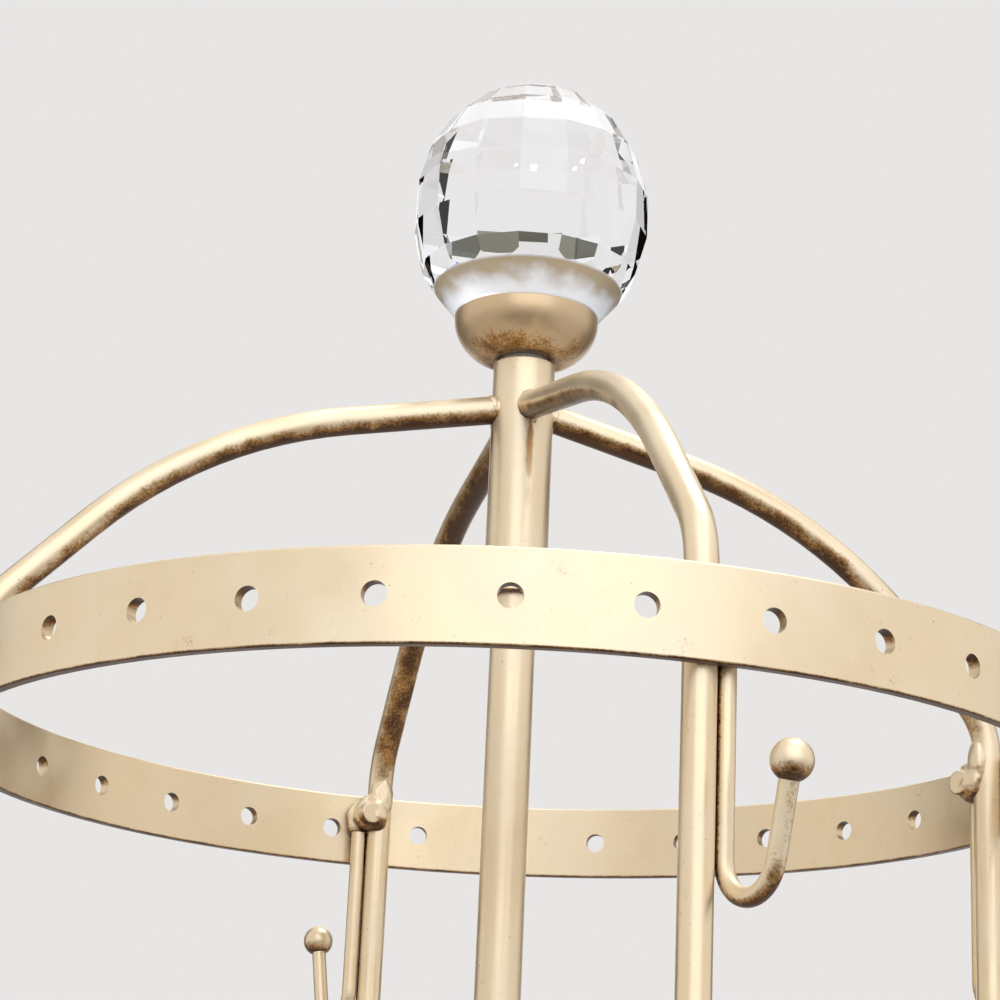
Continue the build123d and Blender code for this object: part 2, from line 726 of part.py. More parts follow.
# ---- Knob of the drawer ---------------------------------------------------------------------------------
knob_seat = case_front - panel_relief
knob_axis = Axis((0, 0, opening_centre), (0, -1, 0))
knob_section = Plane(origin=(0, knob_seat, opening_centre), x_dir=(1, 0, 0), z_dir=(0, 0, -1))
with BuildPart() as knob_cup:
    with BuildSketch(knob_section):
        with BuildLine():
            Polyline(
                (knob_screw_diameter / 2, 0),
                (knob_collar_radius, 0),
                (knob_collar_radius, knob_collar_thickness),
                (knob_neck_radius, 2 * knob_collar_thickness),
                (knob_neck_radius, knob_neck_length),
            )
            ThreePointArc(
                (knob_neck_radius, knob_neck_length),
                (
                    (knob_neck_radius + knob_rim_radius) / 2 + knob_bowl_bulge,
                    (knob_neck_length + knob_cup_length) / 2 - knob_bowl_bulge,
                ),
                (knob_rim_radius, knob_cup_length),
            )
            Polyline(
                (knob_rim_radius, knob_cup_length),
                (knob_rim_radius - cup_wall, knob_cup_length),
                (knob_rim_radius - cup_wall, knob_cup_length - knob_recess_depth),
                (knob_screw_diameter / 2, knob_cup_length - knob_recess_depth),
                (knob_screw_diameter / 2, 0),
            )
        make_face()
    revolve(axis=knob_axis)
knob_cup.part.label = "knob_cup"
export_step(knob_cup.part, "parts/knob_cup.step")

knob_recess = knob_seat - knob_cup_length + knob_recess_depth
knob_crystal_seat = knob_seat - knob_cup_length - crystal_seat_gap
knob_crystal_centre = knob_crystal_seat - sqrt(knob_crystal_radius**2 - knob_rim_radius**2)
knob_crystal_plane = Plane(
    origin=(0, knob_crystal_centre, opening_centre), x_dir=(1, 0, 0), z_dir=(0, -1, 0)
)
with BuildPart(knob_crystal_plane) as drawer_knob:
    Cylinder(knob_crystal_radius * blank_share, 2 * knob_crystal_radius * blank_share)
    for facet in facet_planes(
        knob_crystal_plane, knob_crystal_radius, knob_crystal_radius, knob_facets, knob_rows, knob_crown_row
    ):
        split(bisect_by=facet, keep=Keep.BOTTOM)
    split(bisect_by=Plane.XZ.offset(-knob_crystal_seat - knob_spigot_depth), keep=Keep.TOP)
    with BuildSketch(Plane.XZ.offset(-knob_crystal_seat)):
        with Locations((0, opening_centre)):
            Circle(knob_crystal_radius * blank_share)
            Circle(knob_rim_radius - cup_wall - crystal_seat_gap, mode=Mode.SUBTRACT)
    extrude(amount=-knob_crystal_radius, mode=Mode.SUBTRACT)
drawer_knob.part.label = "drawer_knob"
export_step(drawer_knob.part, "parts/drawer_knob.step")

with BuildPart() as knob_screw:
    with BuildSketch(Plane.XZ.offset(-tray_front - tray_sheet)):
        with Locations((0, opening_centre)):
            Circle(knob_screw_head_radius)
    extrude(amount=-knob_screw_head_height)
    fillet(knob_screw.edges().sort_by(Axis.Y)[-1], radius=knob_screw_head_height / 2)
    with BuildSketch(Plane.XZ.offset(-tray_front - tray_sheet)):
        with Locations((0, opening_centre)):
            Circle(knob_screw_diameter / 2)
    extrude(amount=tray_front + tray_sheet - knob_recess - slip_gap)
knob_screw.part.label = "knob_screw"
export_step(knob_screw.part, "parts/knob_screw.step")
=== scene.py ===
"""Looks of the jewellery stand with a drawer: gold paint, cut crystal, weld beads and a velvet pad."""

import json
from math import cos, pi, radians, sin, tan

import bmesh
import bpy
from bpy.props import FloatProperty, FloatVectorProperty, PointerProperty
from mathutils import Matrix, Vector, noise


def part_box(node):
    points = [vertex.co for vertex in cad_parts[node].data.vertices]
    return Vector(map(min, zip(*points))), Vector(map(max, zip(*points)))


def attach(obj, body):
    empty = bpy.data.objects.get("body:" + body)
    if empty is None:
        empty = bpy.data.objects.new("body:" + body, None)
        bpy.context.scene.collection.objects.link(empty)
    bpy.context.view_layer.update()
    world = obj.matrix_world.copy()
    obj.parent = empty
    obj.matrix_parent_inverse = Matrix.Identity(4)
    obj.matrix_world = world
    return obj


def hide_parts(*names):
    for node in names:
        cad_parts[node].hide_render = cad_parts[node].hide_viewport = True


bl_info = {
    "name": "Jewellery Stand",
    "version": (1, 0, 0),
    "blender": (4, 5, 0),
    "location": "View3D > Sidebar > Stand",
    "description": "Finishes, weld beads, pad and stage for a jewellery stand with a drawer",
    "category": "Object",
}

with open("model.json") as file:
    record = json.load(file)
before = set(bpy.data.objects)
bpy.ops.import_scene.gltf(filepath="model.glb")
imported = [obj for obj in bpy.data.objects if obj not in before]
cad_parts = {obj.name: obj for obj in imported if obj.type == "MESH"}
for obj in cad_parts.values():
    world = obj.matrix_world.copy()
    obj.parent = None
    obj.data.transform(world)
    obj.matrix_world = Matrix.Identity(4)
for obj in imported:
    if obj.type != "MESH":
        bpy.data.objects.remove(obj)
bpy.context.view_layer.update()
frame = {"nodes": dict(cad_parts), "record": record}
nodes = frame["nodes"]

# One millimetre in the frame's metres
MM = 0.001


# ---- Sizes and colours that a user may change -----------------------------------------------------


def linear(code):
    """Turns an sRGB hex colour into linear red, green, blue and an alpha of 1."""
    channels = [int(code[i : i + 2], 16) / 255 for i in (0, 2, 4)]
    return [c / 12.92 if c <= 0.04045 else ((c + 0.055) / 1.055) ** 2.4 for c in channels] + [1.0]


def colour(name, description, code):
    """A colour, with its default as a hex code."""
    default = linear(code)
    return FloatVectorProperty(
        name=name, description=description, subtype="COLOR", size=4, min=0, max=1, default=default
    )


def length(name, description, millimetres):
    """A size in metres, with its default in millimetres."""
    default = millimetres * MM
    return FloatProperty(
        name=name, description=description, subtype="DISTANCE", unit="LENGTH", min=0, default=default
    )


def share(name, description, default):
    """A share from 0 to 1."""
    return FloatProperty(
        name=name, description=description, subtype="FACTOR", min=0, max=1, default=default
    )


def power(name, description, watts):
    """A lamp's power."""
    return FloatProperty(name=name, description=description, unit="POWER", min=0, default=watts)


class StandFinishes(bpy.types.PropertyGroup):
    paint: colour("Gold paint", "Champagne gold of the sprayed top coat", "f5e6ca")
    paint_deep: colour("Deep gold", "Tone that the top coat drifts to in soft patches", "dfc497")
    # Also the painted golden brown half shade on faces that look partly down
    thin_gold_and_half_shade: colour("Thin gold", "Golden brown where the top coat is thin over the primer", "ab7f48")
    # Shown as painted shade on undersides and in corners, and as real primer in the runs and on the cup
    primer: colour("Bronze primer", "Dark base coat, left bare where the spray doesn't reach", "452810")
    pits: colour("Pits", "Pin holes and specks in the paint", "2c1a0b")
    crystal: colour("Crystal", "Faint tint of the cut glass", "fdfdfe")
    # Painted reflection of the gold cup, toning the upper ground taper brown
    cup_reflection: colour("Cement", "Brown resin behind the finial's ground taper, which tones it", "94784e")
    steel: colour("Zinc", "Zinc-plated screws, nut and washer", "b9bbbd")
    nylon: colour("Nylon", "Natural moulded nylon", "e6e2d6")
    velvet: colour("Velvet", "Pile of the drawer's lining", "2a2327")
    felt: colour("Felt", "Bumpers in the case", "2b2b2b")
    flake_size: length("Flake size", "Mica flakes, drawn coarser than real ones so that they show", 0.45)
    patch_size: length("Patch size", "Soft patches of a lighter and a deeper gold", 14)
    cloud_size: length("Cloud size", "Soft clouds where gold fades into primer", 4)
    streak_size: length("Streak width", "Upright runs of primer that show through the gold", 0.8)
    streak_length: length("Streak length", "How far a run reaches below an arm's root", 24)
    sleeve_reach: length("Sleeve reach", "The runs stay within this distance of the stand's middle", 8)
    peel_size: length("Orange peel", "Spacing of the faint waves in the sprayed coat", 1.6)
    ground_height: length("Ground zone", "Matt taper at the finial's foot, above its seat", 5)
    # Height of the painted reflection of the gold cup on the ground taper
    cup_reflection_height: length("Cement zone", "Upper part of the ground taper that the resin tones", 4.5)
    spigot_depth: length("Spigot", "Part of the finial that sits inside its cup", 2.5)


class StandWelds(bpy.types.PropertyGroup):
    blob_width: length("Blob width", "Across the blob that joins a hook to its upright", 7.4)
    blob_height: length("Blob height", "From top to bottom of the same blob", 7.6)
    disc_diameter: length("Disc", "Flat spot on the blob's face", 4.4)
    bead: length("Bead", "Thickness of the bead round an arm's or a spoke's root", 1.2)
    grain: length("Grain", "Finest detail that a melted bead keeps", 0.22)


class StandPad(bpy.types.PropertyGroup):
    sag: length("Sag", "Depth of the soft hollows in the pad", 0.5)
    hollow: length("Hollow spacing", "Distance between the soft hollows", 34)
    weave: length("Pad grain", "Finest detail of the pad's rounded edges", 1.2)


class StandStage(bpy.types.PropertyGroup):
    backdrop: colour("Backdrop", "Pale wall behind the stand", "e8e6e5")
    floor: colour("Floor", "Pale floor", "dcd9d5")
    flag: colour("Flags", "Dark cards around the stand, which draw the dark edges on metal", "2a2420")
    rail: colour("Rails", "Olive grey bars behind the stand, which show in the crystal alone", "7c7b6b")
    gel: colour("Gel", "Blue card that gives the crystal a spark of colour", "4c74dd")
    key_tint: colour("Key colour", "Cool daylight, which whitens the highlights on gold", "e2eeff")
    key_power: power("Key lamp", "Large soft lamp above the camera", 15.5)
    top_power: power("Top lamp", "Soft lamp above the stand", 8)
    glint_power: power("Glints", "Tiny bare lamps that sparkle in the crystal", 0.0035)
    ambient: share("Ambient", "Share of the backdrop's light that reaches matt surfaces", 0.68)
    lens: FloatProperty(name="Lens", description="Focal length", subtype="DISTANCE_CAMERA", default=90.5)


# ---- Fixed values ---------------------------------------------------------------------------------

# Heading of each side's upright, in degrees from X
SIDES = {"front": -90, "right": 0, "back": 90, "left": 180}
BAND_THICKNESS = 2 * MM

# Smooth steps in the paint, as start, end, low and high. Low and high are 0 and 1 where left out.
# On how far a face looks up, for the painted shade on undersides and the painted golden brown
# half shade: 0 is upright and -1 an underside
UNDERSIDE_SHADE_STEP = (-0.14, -0.88, 0.0, 0.96)
HALF_SHADE_STEP = (-0.16, -0.5, 0.0, 0.85)
# For the painted shade in corners, on how open a spot is: 1 is open and 0 a deep corner
CORNER_SHADE_STEP = (0.55, 0.15, 0.0, 0.92)
# On how much primer and painted shade show through
THINNING_STEP = (0.0, 0.5)
BROWNING_STEP = (0.4, 1.0)
# On the flakes, for the pin holes
PITS_STEP = (0.72, 0.8, 0.0, 0.7)
# On the patches, to a roughness
SHINE_STEP = (0.3, 0.7, 0.3, 0.46)

# How far the flakes and the clouds shift the edge between gold and the primer and painted shade
EDGE_FLAKES = 0.6
EDGE_CLOUDS = 0.9
# How much the painted shade on the cup's underside is lifted, and the least primer that shows on the cup
CUP_SHADE_LIFT = 0.42
CUP_THINNESS = 0.24
# The sleeve's runs start this far below an arm's middle, wander this far and are this strong
RUN_DROP = 2 * MM
RUN_WANDER = 2 * MM
RUN_STRENGTH = 0.5
# How near a neighbouring surface has to be for the corner between them to get painted shade
CORNER_SHADE_REACH = 3 * MM

# Roughness of ground glass, half the width of its edge, and the smear of the painted reflection of the
# gold cup on it
GROUND_ROUGHNESS = 0.5
GROUND_EDGE = 0.3 * MM
CUP_REFLECTION_SMEAR = 5 * MM

# Drops of weld metal lie this share of a bead's thickness apart
DROP_PITCH = 0.45
# How much a drop swells along a bead, and how fast that changes
BEAD_SWELL = 0.3
BEAD_SWELL_RATE = 1.9
# How closely lumps lie on a blob of radius 1
LUMP_RATE = 1.6
# A root's bead is centred this far inside its rod's surface
BEAD_INSET = 0.4 * MM
# Beads at the lower band: how far aside of an upright's middle, and how far inside the band
BAND_BEAD_ASIDE = 1.8 * MM
BAND_BEAD_INSET = 0.7 * MM
# Drips of weld metal below a root: how far aside, how far down and how large
DRIPS = ((0.6 * MM, 0.2 * MM, 0.9 * MM), (-0.5 * MM, 0.5 * MM, 0.6 * MM))
# A drip's radii along the rod, across it and upright, as shares of its size
DRIP_SHAPE = (0.7, 0.8, 1.3)
# Steps between the random seeds of neighbouring welds, drops and drips
HOOK_SEED = 3.1
ROOT_SEED = 5.3
DROP_SEED = 0.7
DRIP_SEED = 9
# Slope of an arm where it leaves the sleeve, and of the flat spot on a hook's weld, in degrees
ARM_SLOPE = 12
DISC_TILT = -18

# Places on the stage, in metres, with headings and rises in degrees
FLOOR_WIDTH = 6.0
# Share of white that the camera sees over the floor, so that it stays pale far from the lamps
FLOOR_HAZE = 0.45
# Strength of the backdrop that metal mirrors
GLOSSY_STRENGTH = 1.27
FLAGS = {"flag_left": 118, "flag_right": 28}
FLAG_WIDTH = 0.6
FLAG_HEIGHT = 1.4
FLAG_REACH = 0.9
FLAG_MIDDLE = 0.5
LOW_FLAG_SIZE = (0.7, 0.5)
LOW_FLAG_PLACE = (-0.1, -0.42, 0.13)
# Cards that only the crystal shows stand this far off, at a rise seen from its middle
CARD_REACH = 1.5
CRYSTAL_HEIGHT = 0.412
# Heading, rise, width and height
RAILS = (
    (30, 30.5, 0.30, 0.12), (49, 34.0, 0.30, 0.13), (62.6, 33.5, 0.26, 0.14), (73.5, 33.5, 0.16, 0.13),
    (88, 33.0, 0.30, 0.12), (105, 31.3, 0.24, 0.14), (131, 21.0, 0.12, 0.16), (105, -10.3, 0.08, 0.05),
)
GEL = (40.5, 38.5, 0.16, 0.16)
# Every other rail is this much darker
RAIL_SHADE = 0.5
LAMP_AIM = Vector((0.0, 0.0, 0.33))
KEY_WIDTH = 2.0
KEY_PLACE = (-0.19, -1.37, 1.13)
TOP_WIDTH = 0.8
TOP_PLACE = (0.35, 0.0, 1.7)
# Width, then place
GLINTS = (
    (0.0040, -0.118, -1.099, 0.926), (0.0016, -0.856, -0.696, 0.927), (0.0022, 0.700, -0.851, 0.927),
    (0.0024, 0.703, -0.847, 0.932), (0.0014, -0.118, -1.103, 0.905),
)
CAMERA_PLACE = (-0.1200, -0.4039, 0.2240)
CAMERA_HEADING = 16.10
CAMERA_PITCH = 17.74
CAMERA_ROLL = 2.59


# ---- Shared helpers -------------------------------------------------------------------------------

SMOOTH = {"interpolation_type": "SMOOTHSTEP"}
# A Mix node's colours: its two inputs and its output, by number
MIX_UNDER = 6
MIX_OVER = 7
MIXED = 2


def add_node(owner, kind, sockets=(), **settings):
    """Adds a shader node with its settings, and fills its sockets in order or by name or number.

    A socket takes a number, a colour, the output that feeds it, or a node for its first output.
    """
    node = owner.node_tree.nodes.new("ShaderNode" + kind)
    for name, value in settings.items():
        setattr(node, name, value)
    for key, value in sockets.items() if isinstance(sockets, dict) else enumerate(sockets):
        if isinstance(value, bpy.types.Node):
            value = value.outputs[0]
        if isinstance(value, bpy.types.NodeSocket):
            owner.node_tree.links.new(value, node.inputs[key])
        else:
            node.inputs[key].default_value = value
    return node


def new_material(name):
    """A material with no nodes yet."""
    material = bpy.data.materials.new(name)
    material.use_nodes = True
    material.node_tree.nodes.clear()
    return material


def add_object(name, data):
    """Puts a mesh, a lamp or a camera in the scene, at the origin."""
    made = bpy.data.objects.new(name, data)
    bpy.context.scene.collection.objects.link(made)
    return made


def outward_matrix(side, height=0.0):
    """Turns local X outwards on that side of the cage, local Y sideways and local Z up."""
    return Matrix.Translation((0, 0, height)) @ Matrix.Rotation(radians(SIDES[side]), 4, "Z")


def add_blob(bm, place, centre, radii, seed, lumps=0.16):
    """Adds a lumpy ellipsoid to the mesh being built."""
    verts = bmesh.ops.create_icosphere(bm, subdivisions=3, radius=1.0)["verts"]
    for vert in verts:
        swell = 1 + lumps * noise.noise(vert.co * LUMP_RATE + Vector((seed, 2 * seed, -seed)))
        vert.co = Vector([swell * reach * part for reach, part in zip(radii, vert.co)])
    bmesh.ops.transform(bm, matrix=place @ Matrix.Translation(centre), verts=verts)


def add_ring_bead(bm, place, ring_radius, bead, seed):
    """Adds a weld bead round the local X direction, as overlapping drops that swell and shrink."""
    drops = round(2 * pi * ring_radius / (bead * DROP_PITCH))
    for drop in range(drops):
        turn = 2 * pi * drop / drops
        spot = Vector((seed, BEAD_SWELL_RATE * cos(turn), BEAD_SWELL_RATE * sin(turn)))
        swell = 1 + BEAD_SWELL * noise.noise(spot)
        centre = (0, ring_radius * cos(turn), ring_radius * sin(turn))
        add_blob(bm, place, centre, [bead / 2 * swell] * 3, seed + drop)


def make_piece(bm, name, body, material):
    """Turns a finished bmesh into a piece that rides on a body."""
    bmesh.ops.recalc_face_normals(bm, faces=bm.faces)
    mesh = bpy.data.meshes.new(name)
    bm.to_mesh(mesh)
    bm.free()
    mesh.materials.append(bpy.data.materials[material])
    piece = add_object(name, mesh)
    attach(piece, body)
    return piece


def melt(piece, grain, smoothing):
    """Melts overlapping solids into one skin, as weld metal runs together."""
    remesh = piece.modifiers.new("melt", "REMESH")
    remesh.mode = "VOXEL"
    remesh.voxel_size = grain
    soften = piece.modifiers.new("soften", "SMOOTH")
    soften.factor = 0.5
    soften.iterations = smoothing
    bpy.context.view_layer.update()
    evaluated = piece.evaluated_get(bpy.context.evaluated_depsgraph_get())
    mesh = bpy.data.meshes.new_from_object(evaluated)
    piece.modifiers.clear()
    piece.data = mesh
    mesh.polygons.foreach_set("use_smooth", [True] * len(mesh.polygons))
    return piece


def cage_sizes():
    """Sizes of the cage's pieces, read from the frame."""
    rod_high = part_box("cage_rod_right")[1]
    hook_low, hook_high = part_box("hook_right")
    rod_radius = rod_high.y
    upright = rod_high.x - rod_radius
    wire_radius = upright - hook_low.x
    return {
        "band_inside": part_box("top_band")[1].x - BAND_THICKNESS,
        "rod_radius": rod_radius,
        "upright": upright,
        "hook_aside": hook_low.y + wire_radius,
        "shank_top": hook_high.z,
        "arm_height": rod_high.z - rod_radius,
    }


# ---- Materials ------------------------------------------------------------------------------------


def runs_below_arms(material, sizes, place, clouds):
    """Thin upright runs on the sleeve, below the roots of the four arms, which lie on X and Y."""
    x, y, z = add_node(material, "SeparateXYZ", [place]).outputs
    across = add_node(material, "VectorMath", (place, (1, 1, 0)), operation="MULTIPLY")
    reach = add_node(material, "VectorMath", [across], operation="LENGTH").outputs["Value"]
    on_sleeve = (reach, sizes.sleeve_reach, sizes.sleeve_reach - 1 * MM)
    near = add_node(material, "MapRange", on_sleeve, **SMOOTH)

    sideways = [add_node(material, "Math", [part], operation="ABSOLUTE") for part in (x, y)]
    aside = add_node(material, "Math", sideways, operation="MINIMUM")
    wander = add_node(material, "Math", (clouds, RUN_WANDER, -RUN_WANDER / 2), operation="MULTIPLY_ADD")
    bent = add_node(material, "Math", (aside, wander), operation="ADD")
    thin = add_node(material, "MapRange", (bent, sizes.streak_size, 0.0), **SMOOTH)

    root = cage_sizes()["arm_height"] - RUN_DROP
    rise = (z, root - sizes.streak_length, root, 0.0, RUN_STRENGTH)
    fade = add_node(material, "MapRange", rise, **SMOOTH)
    runs = add_node(material, "Math", (z, root), operation="LESS_THAN")
    for part in (near, thin, fade):
        runs = add_node(material, "Math", (runs, part), operation="MULTIPLY")
    return runs


def champagne_paint(sizes):
    """Metallic lacquer sprayed over a dark bronze primer on iron.

    Mica flakes give a broad satin sheen with a fine grain, and the clear binder whitens the
    highlights. Undersides and corners get the primer's brown as painted shade, with a soft clouded
    edge and a painted golden brown half shade where faces look partly down; thin runs of real primer
    show below the arms' roots. The cup is sprayed apart and thinly, so it is browner, and the painted
    shade on its underside is lighter.
    """
    material = new_material("champagne_paint")
    place = add_node(material, "TexCoord").outputs["Object"]
    fields = (
        (sizes.patch_size, 3.0), (sizes.cloud_size, 3.0), (sizes.flake_size, 2.0), (sizes.peel_size, 2.0)
    )
    patches, clouds, flakes, peel = [
        add_node(material, "TexNoise", {"Vector": place, "Scale": 1 / size, "Detail": detail})
        for size, detail in fields
    ]

    normal = add_node(material, "NewGeometry").outputs["Normal"]
    facing = add_node(material, "SeparateXYZ", [normal]).outputs["Z"]
    level = add_node(material, "SeparateXYZ", [place]).outputs["Z"]
    sleeve_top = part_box("hub_sleeve")[1].z
    on_cup = add_node(material, "MapRange", (level, sleeve_top, sleeve_top + 0.5 * MM), **SMOOTH)
    ragged = add_node(material, "Math", (flakes, EDGE_FLAKES, -EDGE_FLAKES / 2), operation="MULTIPLY_ADD")
    drift = add_node(material, "Math", (clouds, EDGE_CLOUDS, -EDGE_CLOUDS / 2), operation="MULTIPLY_ADD")
    lean = add_node(material, "Math", (on_cup, CUP_SHADE_LIFT, facing), operation="MULTIPLY_ADD")
    for shift in (ragged, drift):
        lean = add_node(material, "Math", (lean, shift), operation="ADD")
    # Painted shade: downward faces get the primer's brown, partly downward faces a golden brown
    underside_shade = add_node(material, "MapRange", (lean, *UNDERSIDE_SHADE_STEP), **SMOOTH)
    thin = add_node(material, "MapRange", (lean, *HALF_SHADE_STEP), **SMOOTH)

    # Painted shade: corners near another surface get the primer's brown
    around = add_node(material, "AmbientOcclusion", {"Distance": CORNER_SHADE_REACH}, samples=8).outputs["AO"]
    openness = add_node(material, "Math", (around, ragged), operation="ADD")
    corner_shade = add_node(material, "MapRange", (openness, *CORNER_SHADE_STEP), **SMOOTH)
    cup_coat = add_node(material, "Math", (on_cup, CUP_THINNESS), operation="MULTIPLY")
    # The primer's brown: painted shade on undersides and in corners, real primer in the runs and on the
    # cup
    primer = underside_shade
    for other in (corner_shade, runs_below_arms(material, sizes, place, clouds), cup_coat):
        primer = add_node(material, "Math", (primer, other), operation="MAXIMUM")

    shade_and_primer_edge = add_node(material, "MapRange", (primer, *THINNING_STEP), **SMOOTH)
    layers = (
        (patches, sizes.paint),
        (add_node(material, "Math", (thin, shade_and_primer_edge), operation="MAXIMUM"), sizes.thin_gold_and_half_shade),
        (add_node(material, "MapRange", (primer, *BROWNING_STEP), **SMOOTH), sizes.primer),
        (add_node(material, "MapRange", (flakes, *PITS_STEP), **SMOOTH), sizes.pits),
    )
    tone = sizes.paint_deep
    for cover, over in layers:
        mix = add_node(material, "Mix", {0: cover, MIX_UNDER: tone, MIX_OVER: over}, data_type="RGBA")
        tone = mix.outputs[MIXED]

    grain = add_node(material, "Math", (peel, flakes), operation="ADD")
    bump = add_node(material, "Bump", {"Strength": 0.14, "Distance": 0.1 * MM, "Height": grain})
    shine = add_node(material, "MapRange", (patches, *SHINE_STEP), **SMOOTH)
    lacquer = {"Metallic": 0.6, "Coat Weight": 0.25, "Coat Roughness": 0.28}
    finish = {"Base Color": tone, "Roughness": shine, "Normal": bump, **lacquer}
    add_node(material, "OutputMaterial", [add_node(material, "BsdfPrincipled", finish)])
    return material


def lead_crystal(sizes):
    """Lead crystal, ground and polished flat by flat: clear, bright and sharp at every edge.

    The taper at the foot is only ground, so it scatters light, and its upper part is toned brown as
    a painted reflection of the gold cup. The knob on the drawer is polished all over.
    """
    material = new_material("lead_crystal")
    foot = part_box("crystal_finial")[0].z
    ground_top = foot + sizes.spigot_depth + sizes.ground_height
    place = add_node(material, "TexCoord").outputs["Object"]
    height = add_node(material, "SeparateXYZ", [place]).outputs["Z"]
    on_finial = add_node(material, "Math", (height, foot - 1 * MM), operation="GREATER_THAN")
    edge = (height, ground_top + GROUND_EDGE, ground_top - GROUND_EDGE)
    below = add_node(material, "MapRange", edge, **SMOOTH)
    matt = add_node(material, "Math", (below, on_finial), operation="MULTIPLY")

    # Painted reflection: the upper ground taper is toned brown for the gold cup seen in it
    blot = add_node(material, "TexNoise", {"Vector": place, "Scale": 1 / CUP_REFLECTION_SMEAR, "Detail": 2.0})
    smear = add_node(material, "Math", (blot, CUP_REFLECTION_SMEAR, -CUP_REFLECTION_SMEAR / 2), operation="MULTIPLY_ADD")
    smeared = add_node(material, "Math", (height, smear), operation="ADD")
    reflection_band = (smeared, ground_top - sizes.cup_reflection_height, ground_top - 1 * MM)
    toned = add_node(material, "MapRange", reflection_band, **SMOOTH)
    cover = add_node(material, "Math", (matt, toned), operation="MULTIPLY")
    layers = {0: cover, MIX_UNDER: sizes.crystal, MIX_OVER: sizes.cup_reflection}
    tone = add_node(material, "Mix", layers, data_type="RGBA").outputs[MIXED]

    rough = add_node(material, "Math", (matt, GROUND_ROUGHNESS), operation="MULTIPLY")
    finish = {"Base Color": tone, "Roughness": rough, "IOR": 1.54, "Transmission Weight": 1.0}
    add_node(material, "OutputMaterial", [add_node(material, "BsdfPrincipled", finish)])
    return material


def zinc_plate(sizes):
    """Bright zinc plate on turned steel: grey, faintly bluish, with fine turning marks."""
    material = new_material("zinc_plate")
    place = add_node(material, "TexCoord").outputs["Object"]
    marks = add_node(material, "TexNoise", {"Vector": place, "Scale": 1 / (0.4 * MM), "Detail": 3.0})
    shine = add_node(material, "MapRange", (marks, 0.2, 0.8, 0.25, 0.5), **SMOOTH)
    finish = {"Base Color": sizes.steel, "Metallic": 1.0, "Roughness": shine}
    add_node(material, "OutputMaterial", [add_node(material, "BsdfPrincipled", finish)])
    return material


def moulded_nylon(sizes):
    """Natural nylon from a spark-eroded mould: cream white, waxy, with a fine even texture."""
    material = new_material("moulded_nylon")
    place = add_node(material, "TexCoord").outputs["Object"]
    texture = add_node(material, "TexNoise", {"Vector": place, "Scale": 1 / (0.6 * MM), "Detail": 2.0})
    bump = add_node(material, "Bump", {"Strength": 0.2, "Distance": 0.05 * MM, "Height": texture})
    waxy = {"Roughness": 0.45, "IOR": 1.53, "Subsurface Weight": 0.1}
    finish = {"Base Color": sizes.nylon, "Normal": bump, **waxy}
    add_node(material, "OutputMaterial", [add_node(material, "BsdfPrincipled", finish)])
    return material


def pile_fabric(name, pile_tint, pile_size):
    """Short pile, such as velvet or pressed felt: dark face on, paler where the pile leans."""
    material = new_material(name)
    place = add_node(material, "TexCoord").outputs["Object"]
    strokes = add_node(material, "TexNoise", {"Vector": place, "Scale": 1 / (25 * MM), "Detail": 1.0})
    leaning = add_node(material, "MapRange", (strokes, 0.3, 0.7), **SMOOTH)
    darker = [0.55 * part for part in pile_tint[:3]] + [1.0]
    layers = {0: leaning, MIX_UNDER: darker, MIX_OVER: pile_tint}
    tone = add_node(material, "Mix", layers, data_type="RGBA").outputs[MIXED]
    pile = add_node(material, "TexNoise", {"Vector": place, "Scale": 1 / pile_size, "Detail": 2.0})
    bump = add_node(material, "Bump", {"Strength": 0.5, "Distance": 0.2 * MM, "Height": pile})
    soft = {"Roughness": 0.9, "Sheen Weight": 0.5, "Sheen Roughness": 0.4}
    finish = {"Base Color": tone, "Normal": bump, **soft}
    add_node(material, "OutputMaterial", [add_node(material, "BsdfPrincipled", finish)])
    return material


class STAND_OT_finishes(bpy.types.Operator):
    """Makes the materials and puts each on the CAD nodes of its slot"""

    bl_idname = "stand.finishes"
    bl_label = "Finishes"

    def execute(self, context):
        sizes = context.scene.stand_finishes
        made = {
            "gold_paint": champagne_paint(sizes),
            "cut_crystal": lead_crystal(sizes),
            "zinc_steel": zinc_plate(sizes),
            "nylon": moulded_nylon(sizes),
            "velvet": pile_fabric("short_velvet", sizes.velvet, 0.5 * MM),
            "felt": pile_fabric("pressed_felt", sizes.felt, 0.9 * MM),
        }
        for subpart in frame["record"]["subparts"]:
            for slot in nodes[subpart["node"]].material_slots:
                slot.material = made[subpart["material_slot"]]
        return {"FINISHED"}


# ---- Weld beads -----------------------------------------------------------------------------------


